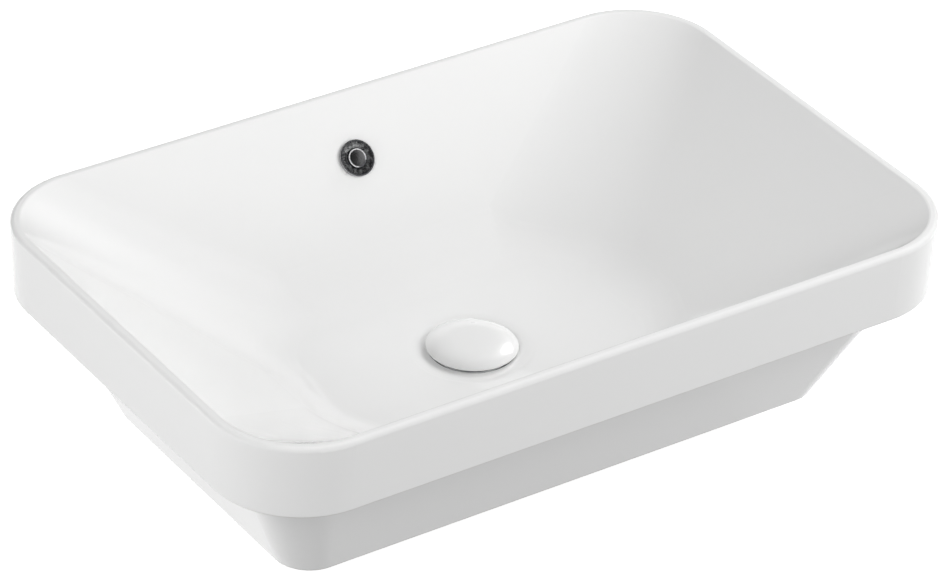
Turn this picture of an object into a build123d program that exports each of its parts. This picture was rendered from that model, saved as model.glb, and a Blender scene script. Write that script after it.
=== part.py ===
from build123d import *
import os
from math import cos, radians, sin, tan

# A rectangular countertop basin of vitreous china with an overflow ring and a click-clack waste.
# Millimetres, +Z up, +Y towards the wall, +X along the basin's long side.
# The origin is the middle of the shelf under the rim band, level with the top of the counter.

# Outer form of the china
basin_length = 600.0
basin_width = 395.0
rim_corner_radius = 70.0
band_height = 58.0
band_draft = 2.0
ledge_width = 22.0
body_depth = 100.0
body_draft = 46.0
foot_corner_radius = 28.0
china_wall = 9.0
rim_thickness = 7.0
rim_outer_round = 3.5
rim_inner_round = 2.5
band_foot_round = 2.0
foot_round = 3.0

# Bowl
wall_depth = 108.0
drain_depth = 116.0
end_wall_slope = 54.0
side_wall_slope = 40.0
bowl_blend = 70.0
floor_end_flat = 30.0
dish_length = 90.0
dish_width = 80.0
dish_corner_radius = 38.0

# Overflow
overflow_depth = 38.0
overflow_hole_radius = 12.5
duct_width = 27.0
duct_height = 10.0
duct_wall = 7.0
duct_headroom = 15.0
duct_bend = 22.0
ring_radius = 14.0
ring_stand = 2.5
ring_edge_round = 0.6
ring_lip_radius = 7.3
ring_bore_radius = 6.3
ring_sleeve_radius = 10.4
ring_sleeve_length = 11.0
ring_lip_drop = 0.4
ring_dish = 1.6
grommet_length = 6.5
grommet_ribs = 3
grommet_rib_height = 1.0

# Waste fitting
flange_radius = 31.5
flange_thickness = 2.5
flange_edge_round = 0.8
flange_gasket = 1.0
flange_recess_gap = 1.0
throat_chamfer = 2.0
tail_radius = 20.95
tail_wall = 3.2
tail_length = 78.0
tail_chamfer = 1.0
drain_hole_gap = 2.0
runout_depth = 0.8
runout_width = 2.0
boss_thickness = 24.5
boss_wall = 11.0
window_width = 11.0
window_height = 14.0
window_pairs = 2
boss_gasket_height = 6.0
boss_gasket_nose = 2.5
boss_gasket_top_radius = 27.0
boss_gasket_foot_radius = 31.0
friction_washer = 1.5
nut_height = 10.0
nut_across_flats = 56.0
spider_height = 8.0
spider_arm = 3.0
spider_arm_root = 1.0
spider_hub_radius = 8.5
spider_arms = 3

# Plug
cap_radius = 34.0
cap_gap = 2.5
cap_lip = 3.2
cap_rise = 5.0
cap_edge_round = 1.2
cap_foot_chamfer = 0.8
cap_core = 5.2
cap_recess_radius = 28.6
plate_radius = 27.0
plate_thickness = 2.0
plate_hub_radius = 13.0
plate_keeper_radius = 15.0
plate_keeper_thickness = 1.5
plate_boss_radius = 5.5
plate_boss_length = 3.0
seal_radius = 28.2
seal_lip = 1.2
stem_radius = 3.0
stem_in_plate = 5.8
stem_in_plunger = 12.0
locknut_across_flats = 10.0
locknut_height = 3.0

# Click-clack cartridge
plug_lift = 8.0
lift_stop_gap = 0.5
index_turn = 45.0
rod_radius = 4.6
rod_stand = 2.0
drum_radius = 5.6
drum_margin = 3.0
groove_radius = 1.2
groove_overrun = 1.5
pin_radius = 0.8
pin_reach = 0.5
housing_radius = 9.5
housing_bore_radius = 7.5
housing_neck_radius = 6.6
housing_top_wall = 4.0
o_ring_section = 0.9
o_ring_sides = 8
index_ring_height = 4.0
circlip_height = 0.9
circlip_reach = 1.2
circlip_seat = 0.8
circlip_mouth = 3.0
circlip_clear = 1.0
spring_closed_length = 14.0
spring_wire = 0.45
wire_sides = 6
spring_mean_radius = 4.4
spring_turns = 5.0
spring_guide_radius = 2.6
spring_guide_length = 5.0
end_plug_depth = 4.0
end_plug_flange = 2.0
end_stub_radius = 5.0

# Clearances between pieces
running_gap = 0.05
loose_gap = 0.3

# Heights and places that follow from the sizes
rim_z = band_height
foot_z = -body_depth
wall_foot_z = rim_z - wall_depth
flange_top = rim_z - drain_depth
flange_under = flange_top - flange_thickness
recess_floor = flange_under - flange_gasket
boss_bottom = recess_floor - boss_thickness
drain_hole_radius = tail_radius + drain_hole_gap
tail_bore_radius = tail_radius - tail_wall
tail_end = flange_under - tail_length
washer_under = boss_bottom - boss_gasket_height - friction_washer
nut_under = washer_under - nut_height
gallery_z = recess_floor - boss_thickness / 2
body_inset = band_draft + ledge_width
foot_inset = body_inset + body_draft
ledge_corner_radius = rim_corner_radius - body_inset

# Heights of the plug, closed
lip_under = flange_top + cap_gap
lip_top = lip_under + cap_lip
cap_crest = lip_top + cap_rise
core_under = cap_crest - cap_core
plate_under = core_under - plate_thickness
seal_under = flange_top + loose_gap
keeper_under = seal_under - plate_keeper_thickness
plate_end = keeper_under - plate_boss_length

# Heights of the cartridge, with the plug closed
plunger_top = plate_end - locknut_height
housing_top = plunger_top - rod_stand
neck_top = housing_top - housing_top_wall
drum_top = neck_top - plug_lift - lift_stop_gap
pin_z = drum_top - drum_margin
drum_under = pin_z - plug_lift - drum_margin
index_top = pin_z + index_ring_height / 2
index_under = pin_z - index_ring_height / 2
circlip_top = index_under - running_gap
spring_base = drum_under - spring_closed_length
housing_under = spring_base - end_plug_depth
spider_top = housing_under - end_plug_flange
spider_under = spider_top - spider_height

# Side wall of the bowl, where the overflow sits
side_tilt = radians(side_wall_slope)
rim_inner_y = basin_width / 2 - rim_thickness
overflow_y = rim_inner_y - overflow_depth * tan(side_tilt)
overflow_plane = Plane(
    origin=(0, overflow_y, rim_z - overflow_depth),
    x_dir=(1, 0, 0),
    z_dir=(0, -cos(side_tilt), sin(side_tilt)),
)

os.makedirs("parts", exist_ok=True)


def outline(inset, corner_radius):
    """The basin's plan, drawn in by an inset on every side."""
    RectangleRounded(basin_length - 2 * inset, basin_width - 2 * inset, corner_radius)


def frustum(low_z, low, high_z, high):
    """A straight-sided block between two rounded rectangles, each (length, width, corner radius)."""
    with BuildSketch(Plane.XY.offset(low_z)) as low_face:
        RectangleRounded(*low)
    with BuildSketch(Plane.XY.offset(high_z)) as high_face:
        RectangleRounded(*high)
    loft([low_face.sketch, high_face.sketch], ruled=True)


def turn(corners, plane=Plane.XY, mode=Mode.ADD):
    """Turns a closed profile of (radius, height) corners about the plane's own Z axis."""
    section = Plane(origin=plane.origin, x_dir=plane.x_dir, z_dir=-plane.y_dir)
    with BuildSketch(section) as profile:
        with BuildLine():
            Polyline(*corners, close=True)
        make_face()
    revolve(profile.sketch, axis=Axis(plane.origin, plane.z_dir), mode=mode)


def tube(inner, outer, low, high, plane=Plane.XY, mode=Mode.ADD):
    """A plain ring or washer between two heights."""
    turn([(inner, low), (outer, low), (outer, high), (inner, high)], plane, mode)


def bowl_form(grow):
    """The bowl's hollow: sloped walls, a blended foot and a floor that falls to the drain.

    With grow above zero it is the same form, that much thicker on every side.
    """
    end_tilt = radians(end_wall_slope)
    end_grow = grow / cos(end_tilt)
    side_grow = grow / cos(side_tilt)
    top = (
        basin_length - 2 * rim_thickness + 2 * end_grow,
        basin_width - 2 * rim_thickness + 2 * side_grow,
        rim_corner_radius - rim_thickness + grow,
    )
    floor_z = wall_foot_z - grow
    floor_length = top[0] - 2 * (rim_z - floor_z) * tan(end_tilt)
    floor_width = top[1] - 2 * (rim_z - floor_z) * tan(side_tilt)
    floor = (floor_length, floor_width, (floor_width - floor_end_flat) / 2)
    dish = (dish_length, dish_width, dish_corner_radius)
    frustum(floor_z, floor, rim_z, top)
    frustum(flange_top - grow, dish, floor_z, floor)
    wall_foot = edges().filter_by(lambda e: abs(e.center().Z - floor_z) < 0.01)
    fillet(wall_foot, bowl_blend)


def overflow_path():
    """The duct's centre line: down behind the side wall, then forward to the drain."""
    behind_wall = duct_wall + duct_height / 2
    slope = overflow_plane.y_dir
    start = overflow_plane.origin - overflow_plane.z_dir * behind_wall + slope * duct_headroom
    fall = (start.Z - gallery_z) / slope.Z
    corner = start - slope * fall
    return FilletPolyline(start, corner, (0, 0, gallery_z), radius=duct_bend)


def duct(wall, mode):
    """The duct as a swept block, with this much wall round its passage."""
    with BuildLine() as centre_line:
        overflow_path()
    mouth = Plane(centre_line.line @ 0, x_dir=(1, 0, 0), z_dir=centre_line.line % 0)
    with BuildSketch(mouth) as section:
        Rectangle(duct_width + 2 * wall, duct_height + 2 * wall)
    sweep(section.sketch, path=centre_line.line, mode=mode)
    if wall > 0:
        extrude(section.sketch, amount=-wall, mode=mode)


# The hollow of the bowl
with BuildPart() as bowl_hollow:
    bowl_form(0)

# The same form, one wall thicker
with BuildPart() as bowl_shell:
    bowl_form(china_wall)

# The space under the bowl, open at the foot and running up inside the rim band
with BuildPart() as under_hollow:
    with BuildSketch(Plane.XY.offset(foot_z)):
        outline(foot_inset + china_wall, foot_corner_radius - china_wall)
    with BuildSketch(Plane.XY.offset(china_wall)):
        outline(body_inset + china_wall, ledge_corner_radius - china_wall)
    loft(ruled=True)
    with BuildSketch(Plane.XY.offset(china_wall)):
        outline(band_draft + china_wall, rim_corner_radius - band_draft - china_wall)
    extrude(amount=rim_z - 2 * china_wall)
    add(bowl_shell.part, mode=Mode.SUBTRACT)

# Basin body: one casting with the rim band, the shelf that lies on the counter, the tapered
# lower body, the drain boss and the overflow duct
with BuildPart() as basin_body:
    with BuildSketch(Plane.XY):
        outline(band_draft, rim_corner_radius - band_draft)
    with BuildSketch(Plane.XY.offset(rim_z)):
        outline(0, rim_corner_radius)
    loft(ruled=True)
    band_foot = edges().group_by(Axis.Z)[0]
    fillet(band_foot, band_foot_round)
    with BuildSketch(Plane.XY.offset(foot_z)):
        outline(foot_inset, foot_corner_radius)
    with BuildSketch(Plane.XY):
        outline(body_inset, ledge_corner_radius)
    loft(ruled=True)
    fillet(edges().group_by(Axis.Z)[0], foot_round)
    add(under_hollow.part, mode=Mode.SUBTRACT)
    tube(0, drain_hole_radius + boss_wall, boss_bottom, recess_floor)
    duct(duct_wall, Mode.ADD)
    add(bowl_hollow.part, mode=Mode.SUBTRACT)
    duct(0, Mode.SUBTRACT)
    tube(0, flange_radius + flange_recess_gap, recess_floor, wall_foot_z, mode=Mode.SUBTRACT)
    tube(0, drain_hole_radius, boss_bottom, recess_floor, mode=Mode.SUBTRACT)
    hole_length = duct_wall + duct_height / 2
    tube(0, overflow_hole_radius, -hole_length, ring_stand, overflow_plane, Mode.SUBTRACT)
    rim_faces = faces().filter_by(Plane.XY).group_by(Axis.Z)[-1]
    rim_wires = rim_faces.sort_by(SortBy.AREA)[-1].wires().sort_by(SortBy.LENGTH)
    fillet(rim_wires[-1].edges(), rim_outer_round)
    rim_faces = faces().filter_by(Plane.XY).group_by(Axis.Z)[-1]
    rim_wires = rim_faces.sort_by(SortBy.AREA)[-1].wires().sort_by(SortBy.LENGTH)
    fillet(rim_wires[0].edges(), rim_inner_round)
basin_body.part.label = "basin_body"
export_step(basin_body.part, "parts/basin_body.step")

# Overflow ring: a dished trim with a lip round its bore and a sleeve that goes into the china
with BuildPart() as overflow_ring:
    dish_low = ring_stand - ring_dish
    ring_crown = ring_radius - 2 * ring_edge_round
    turn(
        [
            (ring_bore_radius, -ring_sleeve_length),
            (ring_sleeve_radius, -ring_sleeve_length),
            (ring_sleeve_radius, 0),
            (ring_radius, 0),
            (ring_radius, ring_stand),
            (ring_crown, ring_stand),
            (ring_lip_radius, dish_low),
            (ring_lip_radius, ring_stand - ring_lip_drop),
            (ring_bore_radius, ring_stand - ring_lip_drop),
        ],
        overflow_plane,
    )
    crown_edges = edges().filter_by(GeomType.CIRCLE).filter_by(lambda e: e.radius > ring_crown - 0.01)
    top_edges = crown_edges.sort_by(Axis(overflow_plane.origin, overflow_plane.z_dir))[-2:]
    fillet(top_edges.sort_by(lambda e: e.radius)[-1], ring_edge_round)
overflow_ring.part.label = "overflow_ring"
export_step(overflow_ring.part, "parts/overflow_ring.step")

# Overflow grommet: a ribbed rubber sleeve that grips the ring in its hole
with BuildPart() as overflow_grommet:
    sleeve_outer = ring_sleeve_radius + (overflow_hole_radius - ring_sleeve_radius) / 2
    sleeve_inner = ring_sleeve_radius + running_gap
    tube(sleeve_inner, sleeve_outer, -grommet_length, -running_gap, overflow_plane)
    rib_pitch = (grommet_length - grommet_rib_height) / grommet_ribs
    for rib in range(grommet_ribs):
        rib_low = -grommet_length + rib * rib_pitch
        rib_outer = overflow_hole_radius - running_gap
        tube(sleeve_inner, rib_outer, rib_low, rib_low + grommet_rib_height, overflow_plane)
overflow_grommet.part.label = "overflow_grommet"
export_step(overflow_grommet.part, "parts/overflow_grommet.step")

# Waste body: flange, tail with overflow windows and a run-out groove where the nut's thread ends, and
# the spider that holds the cartridge
with BuildPart() as waste_body:
    turn(
        [
            (tail_bore_radius, tail_end),
            (tail_radius - tail_chamfer, tail_end),
            (tail_radius, tail_end + tail_chamfer),
            (tail_radius, nut_under - runout_width),
            (tail_radius - runout_depth, nut_under - runout_width),
            (tail_radius - runout_depth, nut_under),
            (tail_radius, nut_under),
            (tail_radius, flange_under),
            (flange_radius, flange_under),
            (flange_radius, flange_top - flange_edge_round),
            (flange_radius - flange_edge_round, flange_top),
            (tail_bore_radius + throat_chamfer, flange_top),
            (tail_bore_radius, flange_top - throat_chamfer),
        ]
    )
    with Locations((0, 0, gallery_z)):
        with PolarLocations(0, window_pairs, angular_range=180):
            Box(2 * flange_radius, window_width, window_height, mode=Mode.SUBTRACT)
    tube(end_stub_radius + running_gap, spider_hub_radius, spider_under, spider_top)
    arm_inner = spider_hub_radius - spider_arm_root
    arm_outer = tail_bore_radius + spider_arm_root
    with Locations((0, 0, (spider_under + spider_top) / 2)):
        with PolarLocations((arm_inner + arm_outer) / 2, spider_arms):
            Box(arm_outer - arm_inner, spider_arm, spider_height)
waste_body.part.label = "waste_body"
export_step(waste_body.part, "parts/waste_body.step")

# Flange gasket: a soft ring bedded between the flange and the china
with BuildPart() as flange_gasket_ring:
    gasket_inner = drain_hole_radius + loose_gap
    tube(gasket_inner, flange_radius - loose_gap, recess_floor, flange_under)
flange_gasket_ring.part.label = "flange_gasket"
export_step(flange_gasket_ring.part, "parts/flange_gasket.step")

# Boss gasket: a tapered rubber ring pulled up against the drain boss, with a nose in the hole
with BuildPart() as boss_gasket:
    gasket_under = boss_bottom - boss_gasket_height
    nose_radius = drain_hole_radius - loose_gap
    turn(
        [
            (tail_radius + running_gap, gasket_under),
            (boss_gasket_foot_radius, gasket_under),
            (boss_gasket_top_radius, boss_bottom),
            (nose_radius, boss_bottom),
            (nose_radius, boss_bottom + boss_gasket_nose),
            (tail_radius + running_gap, boss_bottom + boss_gasket_nose),
        ]
    )
boss_gasket.part.label = "boss_gasket"
export_step(boss_gasket.part, "parts/boss_gasket.step")

# Friction washer: a hard plastic ring that lets the nut turn without dragging the rubber
with BuildPart() as washer_ring:
    tube(tail_radius + loose_gap, boss_gasket_foot_radius, washer_under, gasket_under)
washer_ring.part.label = "friction_washer"
export_step(washer_ring.part, "parts/friction_washer.step")

# Back nut: the brass hexagon that clamps the waste to the china
with BuildPart() as back_nut:
    with BuildSketch(Plane.XY.offset(washer_under)):
        RegularPolygon(nut_across_flats / 2, 6, major_radius=False)
        Circle(tail_radius + running_gap, mode=Mode.SUBTRACT)
    extrude(amount=-nut_height)
back_nut.part.label = "back_nut"
export_step(back_nut.part, "parts/back_nut.step")

# Plug cap: a shallow china dome with a thin rolled lip, hollowed below for its carrier plate
with BuildPart() as plug_cap:
    with BuildSketch(Plane.XZ):
        with BuildLine():
            dome_radius = (cap_radius**2 + cap_rise**2) / (2 * cap_rise)
            RadiusArc((0, cap_crest), (cap_radius, lip_top), dome_radius)
            Polyline(
                (cap_radius, lip_top),
                (cap_radius, lip_under),
                (cap_recess_radius, lip_under),
                (cap_recess_radius, core_under),
                (0, core_under),
                (0, cap_crest),
            )
        make_face()
        lip_corners = vertices().group_by(Axis.X)[-1].sort_by(Axis.Z)
        fillet(lip_corners[-1], cap_edge_round)
        chamfer(lip_corners[0], cap_foot_chamfer)
    revolve(axis=Axis.Z)
plug_cap.part.label = "plug_cap"
export_step(plug_cap.part, "parts/plug_cap.step")

# Cap plate: the metal carrier glued under the cap, with a hub for the seal and a boss for the stem
with BuildPart() as cap_plate:
    turn(
        [
            (0, plate_end),
            (plate_boss_radius, plate_end),
            (plate_boss_radius, keeper_under),
            (plate_keeper_radius, keeper_under),
            (plate_keeper_radius, seal_under),
            (plate_hub_radius, seal_under),
            (plate_hub_radius, plate_under),
            (plate_radius, plate_under),
            (plate_radius, core_under),
            (0, core_under),
        ]
    )
    stem_top = plate_end + stem_in_plate
    tube(0, stem_radius + running_gap, plate_end, stem_top, mode=Mode.SUBTRACT)
cap_plate.part.label = "cap_plate"
export_step(cap_plate.part, "parts/cap_plate.step")

# Plug seal: the rubber ring that closes on the flange
with BuildPart() as plug_seal:
    turn(
        [
            (plate_hub_radius + running_gap, seal_under),
            (seal_radius, seal_under),
            (seal_radius, seal_under + seal_lip),
            (plate_radius, plate_under),
            (plate_hub_radius + running_gap, plate_under),
        ]
    )
plug_seal.part.label = "plug_seal"
export_step(plug_seal.part, "parts/plug_seal.step")

# Plug stem: the threaded pin between the cap plate and the plunger
with BuildPart() as plug_stem:
    stem_under = plunger_top - stem_in_plunger
    tube(0, stem_radius, stem_under, stem_top)
plug_stem.part.label = "plug_stem"
export_step(plug_stem.part, "parts/plug_stem.step")

# Stem locknut: holds the cap at its set height
with BuildPart() as stem_locknut:
    with BuildSketch(Plane.XY.offset(plunger_top)):
        RegularPolygon(locknut_across_flats / 2, 6, major_radius=False)
        Circle(stem_radius + running_gap, mode=Mode.SUBTRACT)
    extrude(amount=locknut_height)
stem_locknut.part.label = "stem_locknut"
export_step(stem_locknut.part, "parts/stem_locknut.step")

# Centre line of one groove in the plunger's drum, starting at its foot
groove_pitch = plug_lift * 360 / index_turn
groove_foot = pin_z - plug_lift - groove_overrun
groove_height = plug_lift + 2 * groove_overrun
foot_turn = index_turn * (plug_lift + groove_overrun) / plug_lift
groove_line = Helix(
    groove_pitch, groove_height, drum_radius, center=(0, 0, groove_foot), lefthand=True
)

# Plunger: the push rod, its drum with two helical grooves, and the guide inside the spring
with BuildPart() as plunger:
    turn(
        [
            (0, drum_under - spring_guide_length),
            (spring_guide_radius, drum_under - spring_guide_length),
            (spring_guide_radius, drum_under),
            (drum_radius, drum_under),
            (drum_radius, drum_top),
            (rod_radius, drum_top),
            (rod_radius, plunger_top),
            (0, plunger_top),
        ]
    )
    tube(0, stem_radius + running_gap, stem_under, plunger_top, mode=Mode.SUBTRACT)
    for side in (0, 180):
        groove = groove_line.rotate(Axis.Z, foot_turn + side)
        with BuildSketch(Plane(groove @ 0, z_dir=groove % 0)):
            Circle(groove_radius)
        sweep(path=groove, is_frenet=True, mode=Mode.SUBTRACT)
plunger.part.label = "plunger"
export_step(plunger.part, "parts/plunger.step")

# Cartridge housing: a stepped tube with a seal groove in its neck and a circlip groove in its bore
with BuildPart() as cartridge_housing:
    tube(rod_radius + running_gap, housing_radius, housing_under, housing_top)
    shoulder = index_top + running_gap
    tube(0, housing_neck_radius, shoulder, neck_top, mode=Mode.SUBTRACT)
    tube(0, housing_bore_radius, housing_under, shoulder, mode=Mode.SUBTRACT)
    o_ring_z = (housing_top + neck_top) / 2
    o_ring_radius = rod_radius + running_gap + o_ring_section
    seal_groove = o_ring_section + running_gap
    groove_outer = o_ring_radius + seal_groove
    groove_low = o_ring_z - seal_groove
    groove_high = o_ring_z + seal_groove
    tube(0, groove_outer, groove_low, groove_high, mode=Mode.SUBTRACT)
    circlip_outer = housing_bore_radius + circlip_seat
    circlip_under = circlip_top - circlip_height
    tube(0, circlip_outer, circlip_under, circlip_top, mode=Mode.SUBTRACT)
cartridge_housing.part.label = "cartridge_housing"
export_step(cartridge_housing.part, "parts/cartridge_housing.step")

# Rod seal: the O-ring round the push rod, its round section drawn eight-sided
with BuildPart() as rod_seal:
    with BuildSketch(Plane.XZ):
        with Locations((o_ring_radius, o_ring_z)):
            RegularPolygon(o_ring_section, o_ring_sides)
    revolve(axis=Axis.Z)
rod_seal.part.label = "rod_seal"
export_step(rod_seal.part, "parts/rod_seal.step")

# Index ring: turns as its pins follow the plunger's grooves
with BuildPart() as index_ring:
    tube(drum_radius + running_gap, housing_bore_radius - running_gap, index_under, index_top)
    with BuildSketch(Plane.YZ):
        with Locations((0, pin_z)):
            Circle(pin_radius + running_gap)
    extrude(amount=2 * housing_bore_radius, both=True, mode=Mode.SUBTRACT)
index_ring.part.label = "index_ring"
export_step(index_ring.part, "parts/index_ring.step")

# Index pins: two steel pins through the ring, a pair of separate solids
with BuildPart() as index_pins:
    pin_outer = housing_bore_radius - 2 * running_gap
    pin_inner = drum_radius - pin_reach
    for side in (1, -1):
        with BuildSketch(Plane.YZ.offset(side * pin_inner)):
            with Locations((0, pin_z)):
                Circle(pin_radius)
        extrude(amount=side * (pin_outer - pin_inner))
index_pins.part.label = "index_pins"
export_step(index_pins.part, "parts/index_pins.step")

# Index circlip: the open ring that keeps the index ring against its shoulder
with BuildPart() as index_circlip:
    circlip_inner = housing_bore_radius - circlip_reach
    tube(circlip_inner, circlip_outer - running_gap, circlip_under, circlip_top)
    mouth_length = 2 * (circlip_outer - circlip_inner + circlip_clear)
    with Locations((circlip_outer, 0, (circlip_top + circlip_under) / 2)):
        Box(mouth_length, circlip_mouth, circlip_height, mode=Mode.SUBTRACT)
index_circlip.part.label = "index_circlip"
export_step(index_circlip.part, "parts/index_circlip.step")

# Cartridge spring: lifts the plunger, shown compressed as it is with the plug closed; its round
# wire is drawn six-sided
with BuildPart() as cartridge_spring:
    coil_height = spring_closed_length - 2 * spring_wire
    with BuildLine(Plane.XY.offset(spring_base + spring_wire)) as coil:
        Helix(coil_height / spring_turns, coil_height, spring_mean_radius)
    with BuildSketch(Plane(coil.line @ 0, z_dir=coil.line % 0)):
        RegularPolygon(spring_wire, wire_sides)
    sweep(path=coil.line, is_frenet=True)
cartridge_spring.part.label = "cartridge_spring"
export_step(cartridge_spring.part, "parts/cartridge_spring.step")

# Cartridge end plug: closes the housing and screws down into the spider's hub
with BuildPart() as cartridge_end_plug:
    turn(
        [
            (0, spider_under),
            (end_stub_radius, spider_under),
            (end_stub_radius, spider_top),
            (housing_radius, spider_top),
            (housing_radius, housing_under),
            (housing_bore_radius - running_gap, housing_under),
            (housing_bore_radius - running_gap, spring_base),
            (0, spring_base),
        ]
    )
cartridge_end_plug.part.label = "cartridge_end_plug"
export_step(cartridge_end_plug.part, "parts/cartridge_end_plug.step")
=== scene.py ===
import math

import bpy
from mathutils import Matrix, Vector


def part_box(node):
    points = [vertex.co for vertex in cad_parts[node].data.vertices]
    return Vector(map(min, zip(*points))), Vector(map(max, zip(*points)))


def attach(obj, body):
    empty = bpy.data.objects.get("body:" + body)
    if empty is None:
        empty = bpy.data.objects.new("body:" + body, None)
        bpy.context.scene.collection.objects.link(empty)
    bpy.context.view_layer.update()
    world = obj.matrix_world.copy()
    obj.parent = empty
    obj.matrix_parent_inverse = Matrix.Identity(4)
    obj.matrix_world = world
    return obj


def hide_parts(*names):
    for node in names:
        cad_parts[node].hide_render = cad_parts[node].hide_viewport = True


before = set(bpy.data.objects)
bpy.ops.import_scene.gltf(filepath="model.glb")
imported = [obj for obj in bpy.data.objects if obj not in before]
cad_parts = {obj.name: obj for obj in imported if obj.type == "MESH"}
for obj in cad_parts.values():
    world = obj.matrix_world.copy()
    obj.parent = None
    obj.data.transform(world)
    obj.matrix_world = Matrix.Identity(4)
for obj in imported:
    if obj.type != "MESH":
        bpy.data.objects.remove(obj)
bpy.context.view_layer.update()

# Basin casting
# One hollow casting of vitreous china, glazed white and fired on its foot, so the glaze stops at
# the faces that point down and leaves the bare, slightly gritty body there. The bowl's floor
# dips slightly round the drain.


class Tone:
    """A value on a finish's node sheet; sums and products of tones add Math nodes."""

    def __init__(self, sheet, socket=None):
        self.sheet = sheet
        self.socket = socket

    def node(self, kind, settings=None, inputs=None, output=0):
        """Adds a node, sets it up, fills or links its sockets, and gives one of its outputs."""
        made = self.sheet.nodes.new(kind)
        for name, value in (settings or {}).items():
            setattr(made, name, value)
        for key, value in (inputs or {}).items():
            if isinstance(value, Tone):
                self.sheet.links.new(value.socket, made.inputs[key])
            else:
                made.inputs[key].default_value = value
        return Tone(self.sheet, made.outputs[output]) if made.outputs else None

    def maths(self, operation, first, second=0.0):
        return self.node("ShaderNodeMath", {"operation": operation}, {0: first, 1: second})

    def __add__(self, other):
        return self.maths("ADD", self, other)

    def __sub__(self, other):
        return self.maths("SUBTRACT", self, other)

    def __rsub__(self, other):
        return self.maths("SUBTRACT", other, self)

    def __mul__(self, other):
        return self.maths("MULTIPLY", self, other)

    def __truediv__(self, other):
        return self.maths("DIVIDE", self, other)

    def __pow__(self, other):
        return self.maths("POWER", self, other)

    def __abs__(self):
        return self.maths("ABSOLUTE", self)

    __radd__ = __add__
    __rmul__ = __mul__

    def vectors(self, operation, second=(0.0, 0.0, 0.0), output=0):
        """Vector Math on this place or direction and a second one."""
        settings = {"operation": operation}
        return self.node("ShaderNodeVectorMath", settings, {0: self, 1: second}, output)

    def step(self, low, high):
        """Rises smoothly from 0 at low to 1 at high."""
        inputs = {"Value": self, "From Min": low, "From Max": high}
        settings = {"interpolation_type": "SMOOTHSTEP"}
        return self.node("ShaderNodeMapRange", settings, inputs)

    def place(self):
        return self.node("ShaderNodeTexCoord", output="Object")

    def facing(self):
        """The direction in which the surface looks."""
        return self.node("ShaderNodeTexCoord", output="Normal")

    def axis(self, name):
        """One coordinate of a place or a direction."""
        return self.node("ShaderNodeSeparateXYZ", None, {0: self}, name)

    def from_drain(self):
        """How far the place is from the upright axis of the drain."""
        east, north = self.place().axis("X"), self.place().axis("Y")
        return (east * east + north * north) ** 0.5

    def noise(self, size, detail=2.0, stretch=(1.0, 1.0, 1.0), shift=(0.0, 0.0, 0.0)):
        """Cloudy noise with features of this size in metres, drawn out where stretch is low."""
        moved = {"Vector": self.place(), "Scale": stretch, "Location": shift}
        spot = self.node("ShaderNodeMapping", None, moved)
        inputs = {"Vector": spot, "Scale": 1.0 / size, "Detail": detail}
        return self.node("ShaderNodeTexNoise", None, inputs)

    def colour(self, amount, first, second):
        """A colour between two colours."""
        inputs = {"Factor": amount}
        for key, value in ((6, first), (7, second)):
            inputs[key] = value if isinstance(value, Tone) else (*value, 1.0)
        return self.node("ShaderNodeMix", {"data_type": "RGBA"}, inputs, 2)

    def relief(self, height, depth):
        """The shading of a relief this deep in metres."""
        return self.node("ShaderNodeBump", None, {"Height": height, "Distance": depth})


def new_finish(name):
    """An empty finish and the tone that its values start from."""
    finish = bpy.data.materials.new(name)
    finish.use_nodes = True
    finish.node_tree.nodes.clear()
    return finish, Tone(finish.node_tree)


def coat_piece(tone, surface):
    """Ends a finish in one surface shader with these sockets."""
    shader = tone.node("ShaderNodeBsdfPrincipled", None, surface)
    tone.node("ShaderNodeOutputMaterial", None, {"Surface": shader})


def dress(finish, *nodes):
    """Gives nodes of the frame their finish."""
    for node in nodes:
        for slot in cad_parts[node].material_slots:
            slot.material = finish


glazed_china, tone = new_finish("glazed_china")
glaze_white = (0.905, 0.905, 0.90)
glaze_cloud = (0.895, 0.897, 0.895)
glaze_cloud_size = 0.09
glaze_roughness = 0.30
glaze_sheen = 0.05
glaze_sheen_size = 0.03
glaze_index = 1.5
glaze_skin_roughness = 0.04
ripple_size = 0.014
ripple_depth = 0.00003
bare_body = (0.70, 0.67, 0.61)
bare_grit = (0.62, 0.585, 0.53)
bare_roughness = 0.5
grit_size = 0.0006
grit_height = 3.0
all_bare, all_glazed = -0.56, -0.52
glaze_line_waver = 0.05
glaze_line_size = 0.006
dip_depth = 0.0010
dip_inner, dip_outer = 0.036, 0.047
below_floor, bowl_floor = -0.075, -0.070
glaze_line = tone.facing().axis("Z") + glaze_line_waver * tone.noise(glaze_line_size)
bare = 1.0 - glaze_line.step(all_bare, all_glazed)
grit = tone.noise(grit_size, detail=4.0)
glaze = tone.colour(tone.noise(glaze_cloud_size), glaze_white, glaze_cloud)
in_bowl = tone.place().axis("Z").step(below_floor, bowl_floor)
dip = (1.0 - tone.from_drain().step(dip_inner, dip_outer)) * in_bowl
ripple = tone.noise(ripple_size, detail=1.0) * (1.0 - bare) + grit_height * grit * bare
coat_piece(
    tone,
    {
        "Base Color": tone.colour(bare, glaze, tone.colour(grit, bare_body, bare_grit)),
        "Roughness": glaze_roughness
        + glaze_sheen * tone.noise(glaze_sheen_size)
        + bare_roughness * bare,
        "IOR": glaze_index,
        "Coat Weight": 1.0 - bare,
        "Coat Roughness": glaze_skin_roughness,
        "Coat IOR": glaze_index,
        "Normal": tone.relief(ripple - (dip_depth / ripple_depth) * dip, ripple_depth),
    },
)
dress(glazed_china, "basin_body")

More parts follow.
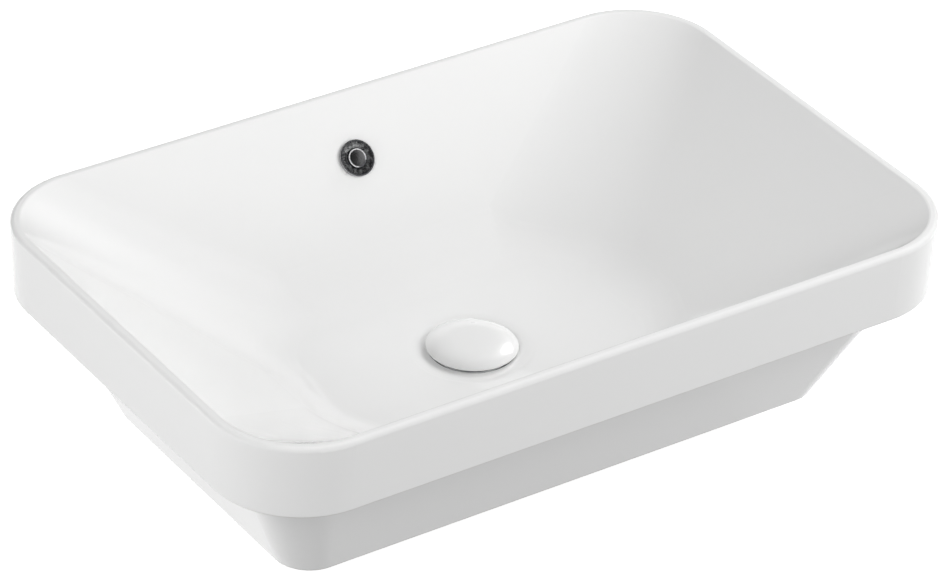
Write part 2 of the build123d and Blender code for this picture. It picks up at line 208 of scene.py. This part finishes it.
# Overflow ring
# A dished trim of chrome-plated brass, pushed into the overflow hole. Its cone is painted in dark
# and light patches that stand for broken reflections of the bowl, and painted dark as shade next to
# the lip and the rim.
# The lip round its matt bore is polished bright, with painted shade at the lower right.
chrome_with_painted_reflections, tone = new_finish("chrome_with_painted_reflections")
wall_tilt = math.radians(40.0)
ring_axis = (0.0, -math.cos(wall_tilt), math.sin(wall_tilt))
ring_mouth = (0.0, 0.1586, 0.020)
ring_rim = 0.0136
lip_outer = 0.0070
lip_face = 0.0012
bore_blend = 0.0004
edge_blend = 0.0003
# Painted shade: the bright lip is dulled toward this side, at the lower right.
painted_shade_side = (0.442, -0.577, -0.687)
painted_shade_from, painted_shade_to = 0.0042, 0.0062
# The cone is painted dark as shade in a band next to the lip and another next to the rim.
lip_shade = 0.0020
rim_shade_from, rim_shade_to = 0.0022, 0.0006
# Dark and light patches of tone painted on the cone stand for broken reflections of the bowl.
reflection_patch_size = 0.0026
painted_reflection_from, painted_reflection_to = 0.36, 0.62
painted_reflection_dark = (0.13, 0.132, 0.14)
painted_reflection_light = (0.93, 0.94, 0.95)
rim_chrome = (0.48, 0.48, 0.49)
lip_chrome = (0.92, 0.92, 0.93)
bore_grey = (0.33, 0.33, 0.335)
chrome_roughness = 0.22
chrome_haze = 0.12
chrome_haze_size = 0.002
dent_size, dent_depth = 0.0018, 0.00025
from_mouth = tone.place().vectors("SUBTRACT", ring_mouth)
ring_reach = from_mouth.vectors("CROSS_PRODUCT", ring_axis).vectors("LENGTH", output="Value")
ring_depth = from_mouth.vectors("DOT_PRODUCT", ring_axis, "Value")
toward_painted_shade = from_mouth.vectors("DOT_PRODUCT", painted_shade_side, "Value")
in_bore = 1.0 - ring_depth.step(lip_face, lip_face + bore_blend)
within_lip = 1.0 - ring_reach.step(lip_outer, lip_outer + edge_blend)
bore = within_lip * in_bore
# The polished lip, less the part at the lower right that is painted dull as shade.
polished_lip_out_of_painted_shade = within_lip * (1.0 - in_bore) * (1.0 - toward_painted_shade.step(painted_shade_from, painted_shade_to))
on_rim = ring_reach.step(ring_rim, ring_rim + edge_blend)
# Painted reflections fill the middle of the cone. By the lip and the rim it keeps the dark tone as
# painted shade.
cone_middle = ring_reach.step(lip_outer + edge_blend, lip_outer + lip_shade) * (
    1.0 - ring_reach.step(ring_rim - rim_shade_from, ring_rim - rim_shade_to)
)
painted_reflection_patches = tone.noise(reflection_patch_size, detail=3.0).step(painted_reflection_from, painted_reflection_to) * cone_middle
cone_and_rim = tone.colour(on_rim, tone.colour(painted_reflection_patches, painted_reflection_dark, painted_reflection_light), rim_chrome)
coat_piece(
    tone,
    {
        "Base Color": tone.colour(
            bore, tone.colour(polished_lip_out_of_painted_shade, cone_and_rim, lip_chrome), bore_grey
        ),
        "Metallic": 1.0 - bore,
        "Roughness": chrome_roughness + chrome_haze * tone.noise(chrome_haze_size),
        "Normal": tone.relief(tone.noise(dent_size), dent_depth),
    },
)
dress(chrome_with_painted_reflections, "overflow_ring")

# Rubber seals
# The ribbed sleeve that grips the overflow ring, the two gaskets of the waste, the plug's seal
# and the O-ring. They are moulded in black rubber, with a fine bloom on the skin.
rubber, tone = new_finish("black_rubber")
rubber_black = (0.018, 0.018, 0.019)
rubber_bloom = (0.042, 0.041, 0.04)
bloom_size = 0.007
rubber_roughness, bloom_roughness = 0.52, 0.2
rubber_grain, rubber_grain_depth = 0.0005, 0.00003
bloom = tone.noise(bloom_size, detail=3.0)
coat_piece(
    tone,
    {
        "Base Color": tone.colour(bloom, rubber_black, rubber_bloom),
        "Roughness": rubber_roughness + bloom_roughness * bloom,
        "Normal": tone.relief(tone.noise(rubber_grain, detail=3.0), rubber_grain_depth),
    },
)
dress(rubber, "overflow_grommet", "flange_gasket", "boss_gasket", "plug_seal", "rod_seal")

# Waste body
# A brass casting, turned and chrome plated: the flange under the cap, and the tail with its
# overflow windows. A pipe thread of 11 turns to the inch is cut over the tail, and its valleys are
# painted dark as shade.
waste_chrome, tone = new_finish("waste_chrome")
chrome_bright = (0.70, 0.71, 0.73)
# The thread's valleys are coloured dark as painted shade.
thread_valley_painted_shade = (0.16, 0.155, 0.15)
thread_pitch = 0.002309
thread_depth = 0.0009
thread_radius = 0.0203
thread_radius_blend = 0.0002
thread_start, thread_full = -0.0625, -0.0630
waste_roughness, thread_roughness = 0.09, 0.12
water_haze, water_haze_size = 0.1, 0.012
height = tone.place().axis("Z")
tail_turn = tone.maths("ARCTAN2", tone.place().axis("Y"), tone.place().axis("X")) / math.tau
thread_wave = abs(tone.maths("FRACT", height / thread_pitch + tail_turn) * 2.0 - 1.0)
threaded = tone.from_drain().step(thread_radius, thread_radius + thread_radius_blend) * (
    1.0 - height.step(thread_full, thread_start)
)
coat_piece(
    tone,
    {
        # Painted shade: the thread's valleys take the dark tone.
        "Base Color": tone.colour(thread_wave * threaded, chrome_bright, thread_valley_painted_shade),
        "Metallic": 1.0,
        "Roughness": waste_roughness
        + water_haze * tone.noise(water_haze_size, detail=3.0)
        + thread_roughness * threaded,
        "Normal": tone.relief((1.0 - thread_wave) * threaded, thread_depth),
    },
)
dress(waste_chrome, "waste_body")

# Friction washer and index ring
# Two hard plastic rings. The washer lets the nut turn without dragging the rubber, and the index
# ring carries the pins that follow the plunger's grooves. Both are moulded in grey acetal.
hard_plastic, tone = new_finish("hard_plastic")
acetal_light = (0.56, 0.57, 0.58)
acetal_dark = (0.49, 0.50, 0.51)
mottle_size = 0.004
acetal_roughness, mottle_roughness = 0.38, 0.15
mould_grain, mould_grain_depth = 0.0008, 0.00002
mottle = tone.noise(mottle_size, detail=3.0)
coat_piece(
    tone,
    {
        "Base Color": tone.colour(mottle, acetal_light, acetal_dark),
        "Roughness": acetal_roughness + mottle_roughness * mottle,
        "Normal": tone.relief(tone.noise(mould_grain), mould_grain_depth),
    },
)
dress(hard_plastic, "friction_washer", "index_ring")

# Back nut
# A forged brass hexagon, 56 mm across its flats, with chamfered corners and a bored thread. It
# clamps the waste to the china from below, over the washer and the rubber. The plunger and the
# cartridge's housing and end plug are turned in the same brass.
raw_brass, tone = new_finish("raw_brass")
brass_bright = (0.80, 0.60, 0.29)
brass_tarnish = (0.58, 0.40, 0.17)
tarnish_size = 0.011
tarnish_from, tarnish_to = 0.35, 0.75
turning_size = 0.0009
turning_stretch = (0.06, 0.06, 1.0)
turning_depth = 0.00004
brass_roughness, tarnish_roughness, turning_roughness = 0.24, 0.16, 0.06
tarnish = tone.noise(tarnish_size, detail=4.0).step(tarnish_from, tarnish_to)
turning = tone.noise(turning_size, detail=1.0, stretch=turning_stretch)
coat_piece(
    tone,
    {
        "Base Color": tone.colour(tarnish, brass_bright, brass_tarnish),
        "Metallic": 1.0,
        "Roughness": brass_roughness + tarnish_roughness * tarnish + turning_roughness * turning,
        "Normal": tone.relief(turning, turning_depth),
    },
)
nut_low, nut_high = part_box("back_nut")
nut_height = nut_high.z - nut_low.z
nut_middle = (0.0, 0.0, nut_low.z + nut_height / 2)
nut_corner = max(nut_high.x, nut_high.y)
nut_turn = 0.0 if nut_high.y > nut_high.x else math.radians(30.0)
nut_bore = 0.0210
nut_chamfer = 0.0016
nut_edge = 0.0005
nut_facets = 96
bpy.ops.object.select_all(action="DESELECT")
bpy.ops.mesh.primitive_cylinder_add(
    vertices=6,
    radius=nut_corner,
    depth=nut_height,
    location=nut_middle,
    rotation=(0.0, 0.0, nut_turn),
)
nut = bpy.context.object
nut.name = "nut_hexagon"
bpy.ops.object.transform_apply(location=True, rotation=True, scale=True)
bpy.ops.mesh.primitive_cone_add(
    vertices=nut_facets,
    radius1=nut_corner + nut_height - nut_chamfer,
    radius2=nut_corner - nut_chamfer,
    depth=nut_height,
    location=nut_middle,
)
nut_crown = bpy.context.object
bpy.ops.object.select_all(action="DESELECT")
bpy.ops.mesh.primitive_cylinder_add(
    vertices=nut_facets, radius=nut_bore, depth=3 * nut_height, location=nut_middle
)
nut_drill = bpy.context.object


def carve(piece, cutter, operation):
    """Cuts a piece with another and clears the cutter away."""
    cut = piece.modifiers.new("cut", "BOOLEAN")
    cut.operation = operation
    cut.solver = "EXACT"
    cut.object = cutter
    bpy.ops.object.select_all(action="DESELECT")
    bpy.context.view_layer.objects.active = piece
    piece.select_set(True)
    bpy.ops.object.modifier_apply(modifier=cut.name)
    bpy.data.objects.remove(cutter)


def round_edges(piece, width, segments, from_angle):
    """Rounds the edges of the active piece that bend by more than this many degrees."""
    edge = piece.modifiers.new("edge", "BEVEL")
    edge.width = width
    edge.segments = segments
    edge.limit_method = "ANGLE"
    edge.angle_limit = math.radians(from_angle)
    bpy.ops.object.modifier_apply(modifier=edge.name)


carve(nut, nut_crown, "INTERSECT")
carve(nut, nut_drill, "DIFFERENCE")
round_edges(nut, nut_edge, segments=2, from_angle=25.0)
bpy.ops.object.shade_smooth_by_angle(angle=math.radians(22.0))
nut.data.materials.clear()
nut.data.materials.append(raw_brass)
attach(nut, "basin")
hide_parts("back_nut")
dress(raw_brass, "plunger", "cartridge_housing", "cartridge_end_plug")

# Plug cap
# A shallow cushion-shaped cap of the same glazed china with a thin lip, cast on its own and glued
# to the carrier plate. Its lip sits just clear of the flange, and the recess below takes the plate.
cap_radius = 0.034
cap_lip_under = -0.0555
cap_lip_top = -0.0544
cap_rise = 0.0050
cap_fullness = 4.5
cap_round = 0.0004
cap_steps = 22
cap_spread = 1.3
cap_recess_radius = 0.0286
cap_recess_top = -0.0525
cap_sides = 128
same_level = 1e-5
nearly_flat = 0.99


def pick_level(piece, level):
    """Selects the piece's faces that lie flat at this height."""
    bpy.ops.object.mode_set(mode="OBJECT")
    for face in piece.data.polygons:
        at_level = abs(face.center.z - level) < same_level
        face.select = at_level and abs(face.normal.z) > nearly_flat
    bpy.ops.object.mode_set(mode="EDIT")


bpy.ops.object.select_all(action="DESELECT")
bpy.ops.mesh.primitive_cylinder_add(
    vertices=cap_sides,
    radius=cap_radius,
    depth=cap_lip_top - cap_lip_under,
    end_fill_type="NGON",
    location=(0.0, 0.0, (cap_lip_top + cap_lip_under) / 2),
)
cap = bpy.context.object
cap.name = "cap_dome"
bpy.ops.object.transform_apply(location=True, rotation=True, scale=True)
bpy.ops.object.mode_set(mode="EDIT")
bpy.ops.mesh.select_mode(type="FACE")
pick_level(cap, cap_lip_under)
bpy.ops.mesh.inset(thickness=cap_radius - cap_recess_radius)
bpy.ops.mesh.extrude_region_move(
    TRANSFORM_OT_translate={"value": (0.0, 0.0, cap_recess_top - cap_lip_under)}
)
pick_level(cap, cap_lip_top)
reach, level = cap_radius, cap_lip_top
for step in range(1, cap_steps + 1):
    next_reach = cap_radius * (1.0 - (step / (cap_steps + 1)) ** cap_spread)
    next_level = cap_lip_top + cap_rise * (1.0 - (next_reach / cap_radius) ** cap_fullness)
    bpy.ops.mesh.inset(thickness=reach - next_reach)
    bpy.ops.transform.translate(value=(0.0, 0.0, next_level - level))
    reach, level = next_reach, next_level
bpy.ops.mesh.merge(type="CENTER")
bpy.ops.object.mode_set(mode="OBJECT")
round_edges(cap, cap_round, segments=3, from_angle=40.0)
bpy.ops.object.shade_smooth_by_angle(angle=math.radians(35.0))
cap_china, tone = new_finish("cap_china")
cap_white = (0.90, 0.90, 0.895)
cap_cloud = (0.89, 0.892, 0.89)
cap_cloud_size = 0.03
cap_roughness = 0.26
cap_sheen, cap_sheen_size = 0.05, 0.02
cap_skin_roughness = 0.08
cap_ripple_size, cap_ripple_depth = 0.012, 0.00002
off_centre = (0.137, 0.211, 0.093)
coat_piece(
    tone,
    {
        "Base Color": tone.colour(
            tone.noise(cap_cloud_size, shift=off_centre), cap_white, cap_cloud
        ),
        "Roughness": cap_roughness + cap_sheen * tone.noise(cap_sheen_size, shift=off_centre),
        "IOR": glaze_index,
        "Coat Weight": 1.0,
        "Coat Roughness": cap_skin_roughness,
        "Coat IOR": glaze_index,
        "Normal": tone.relief(tone.noise(cap_ripple_size, detail=1.0), cap_ripple_depth),
    },
)
cap.data.materials.clear()
cap.data.materials.append(cap_china)
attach(cap, "plug")
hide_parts("plug_cap")

# Steel parts of the plug and the cartridge
# The carrier plate, the stem with its locknut, the index pins, the circlip and the spring. They
# are turned, stamped or wound in stainless steel, and keep fine tool marks.
brushed_steel, tone = new_finish("brushed_steel")
steel_light = (0.60, 0.60, 0.61)
steel_dark = (0.50, 0.50, 0.52)
steel_cloud_size = 0.005
tool_mark_size = 0.0007
tool_mark_stretch = (0.08, 0.08, 1.0)
tool_mark_depth = 0.00003
steel_roughness, tool_mark_roughness = 0.26, 0.14
tool_marks = tone.noise(tool_mark_size, stretch=tool_mark_stretch)
coat_piece(
    tone,
    {
        "Base Color": tone.colour(tone.noise(steel_cloud_size), steel_light, steel_dark),
        "Metallic": 1.0,
        "Roughness": steel_roughness + tool_mark_roughness * tool_marks,
        "Normal": tone.relief(tool_marks, tool_mark_depth),
    },
)
dress(brushed_steel, "cap_plate", "plug_stem", "stem_locknut", "index_pins")
dress(brushed_steel, "index_circlip", "cartridge_spring")

# Studio
# A plain pale floor at the tail's end, a pale dome that only the camera sees, and soft lamps all
# round. A small window behind the right end gives the cap its highlight, and another gives the
# overflow ring its bright lip. The camera is at the front left.
floor_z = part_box("waste_body")[0].z
floor_size = 30.0
floor_grey = (0.2, 0.2, 0.2, 1.0)
floor_roughness = 0.9
floor_glow = 1.0
backdrop_radius = 14.0
backdrop_segments, backdrop_rings = 64, 32
room_strength = 0.08
white = (1.0, 1.0, 1.0, 1.0)
floor_finish, tone = new_finish("floor_white")
coat_piece(
    tone,
    {
        "Base Color": floor_grey,
        "Roughness": floor_roughness,
        "Emission Color": white,
        "Emission Strength": floor_glow,
    },
)
bpy.ops.object.select_all(action="DESELECT")
bpy.ops.mesh.primitive_plane_add(size=floor_size, location=(0.0, 0.0, floor_z))
floor = bpy.context.object
floor.name = "floor"
floor.data.materials.append(floor_finish)
floor.visible_diffuse = False
bpy.ops.object.select_all(action="DESELECT")
bpy.ops.mesh.primitive_uv_sphere_add(
    segments=backdrop_segments, ring_count=backdrop_rings, radius=backdrop_radius
)
backdrop = bpy.context.object
backdrop.name = "backdrop"
backdrop.data.materials.append(floor_finish)
backdrop.visible_diffuse = False
backdrop.visible_glossy = False
backdrop.visible_transmission = False
backdrop.visible_shadow = False

room = bpy.data.worlds.new("white_room")
room.use_nodes = True
room_light = room.node_tree.nodes["Background"]
room_light.inputs["Color"].default_value = white
room_light.inputs["Strength"].default_value = room_strength
bpy.context.scene.world = room


def outward(turn, lift):
    """The direction this far round from the front and this far up."""
    return Vector(
        (math.sin(turn) * math.cos(lift), -math.cos(turn) * math.cos(lift), math.sin(lift))
    )


def hang_lamp(name, azimuth, elevation, distance, diameter, power):
    """A round lamp that looks at the basin from this side."""
    out = outward(math.radians(azimuth), math.radians(elevation))
    lamp = bpy.data.lights.new(name, "AREA")
    lamp.shape = "DISK"
    lamp.size = diameter
    lamp.energy = power
    lamp_object = bpy.data.objects.new(name, lamp)
    aim = out.to_track_quat("Z", "Y").to_matrix().to_4x4()
    lamp_object.matrix_world = Matrix.Translation(out * distance) @ aim
    bpy.context.scene.collection.objects.link(lamp_object)
    return lamp_object


def light_group(name, piece, *lamps):
    """Ties lamps to a group that holds one piece, so that they light it alone."""
    group = bpy.data.collections.new(name)
    group.objects.link(piece)
    for lamp in lamps:
        lamp.light_linking.receiver_collection = group
    return group


soft_distance, soft_diameter = 3.0, 1.5
soft_lamps = {}
for name, azimuth, elevation, power in (
    ("front_right_low", 30.0, 8.0, 30.2),
    ("right_back_low", 120.0, 8.0, 4.9),
    ("left_low", 270.0, 8.0, 25.2),
    ("right_front_high", 60.0, 35.0, 41.8),
    ("right_back_high", 120.0, 35.0, 44.5),
    ("left_back_high", 240.0, 35.0, 7.7),
    ("left_front_high", 300.0, 35.0, 38.5),
    ("back_top", 180.0, 62.0, 4.2),
    ("cap_fill", 300.0, 35.0, 21.0),
):
    soft_lamps[name] = hang_lamp(name, azimuth, elevation, soft_distance, soft_diameter, power)
    soft_lamps[name].visible_glossy = False
cap_window = hang_lamp("cap_window", 117.3, 35.9, distance=2.4, diameter=0.75, power=8.0)
ring_window = hang_lamp("ring_window", 36.7, 35.6, soft_distance, soft_diameter, power=6.0)
ring_window.visible_diffuse = False
light_group("cap_only", cap, cap_window, soft_lamps["cap_fill"])
light_group("ring_only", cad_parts["overflow_ring"], ring_window)
all_but_cap = light_group("all_but_cap", cap, soft_lamps["left_front_high"])
all_but_cap.collection_objects[0].light_linking.link_state = "EXCLUDE"

camera_azimuth = math.radians(-35.30)
camera_elevation = math.radians(32.74)
camera_roll = math.radians(2.59)
camera_distance = 3.495
camera_aim = Vector((-0.0600, -0.0835, 0.058))
camera_reach = 100.0
photo_width = 947.0
focal_pixels = 5018.0
back = outward(camera_azimuth, camera_elevation)
level_right = Vector((math.cos(camera_azimuth), math.sin(camera_azimuth), 0.0))
upright = level_right.cross(-back)
right = level_right * math.cos(camera_roll) + upright * math.sin(camera_roll)
up = upright * math.cos(camera_roll) - level_right * math.sin(camera_roll)
camera_data = bpy.data.cameras.new("camera")
camera_data.sensor_width = 36.0
camera_data.lens = focal_pixels * camera_data.sensor_width / photo_width
camera_data.clip_end = camera_reach
camera = bpy.data.objects.new("camera", camera_data)
turned = Matrix((right, up, back)).transposed().to_4x4()
camera.matrix_world = Matrix.Translation(camera_aim + back * camera_distance) @ turned
bpy.context.scene.collection.objects.link(camera)
bpy.context.scene.camera = camera
bpy.context.scene.view_settings.view_transform = "Standard"
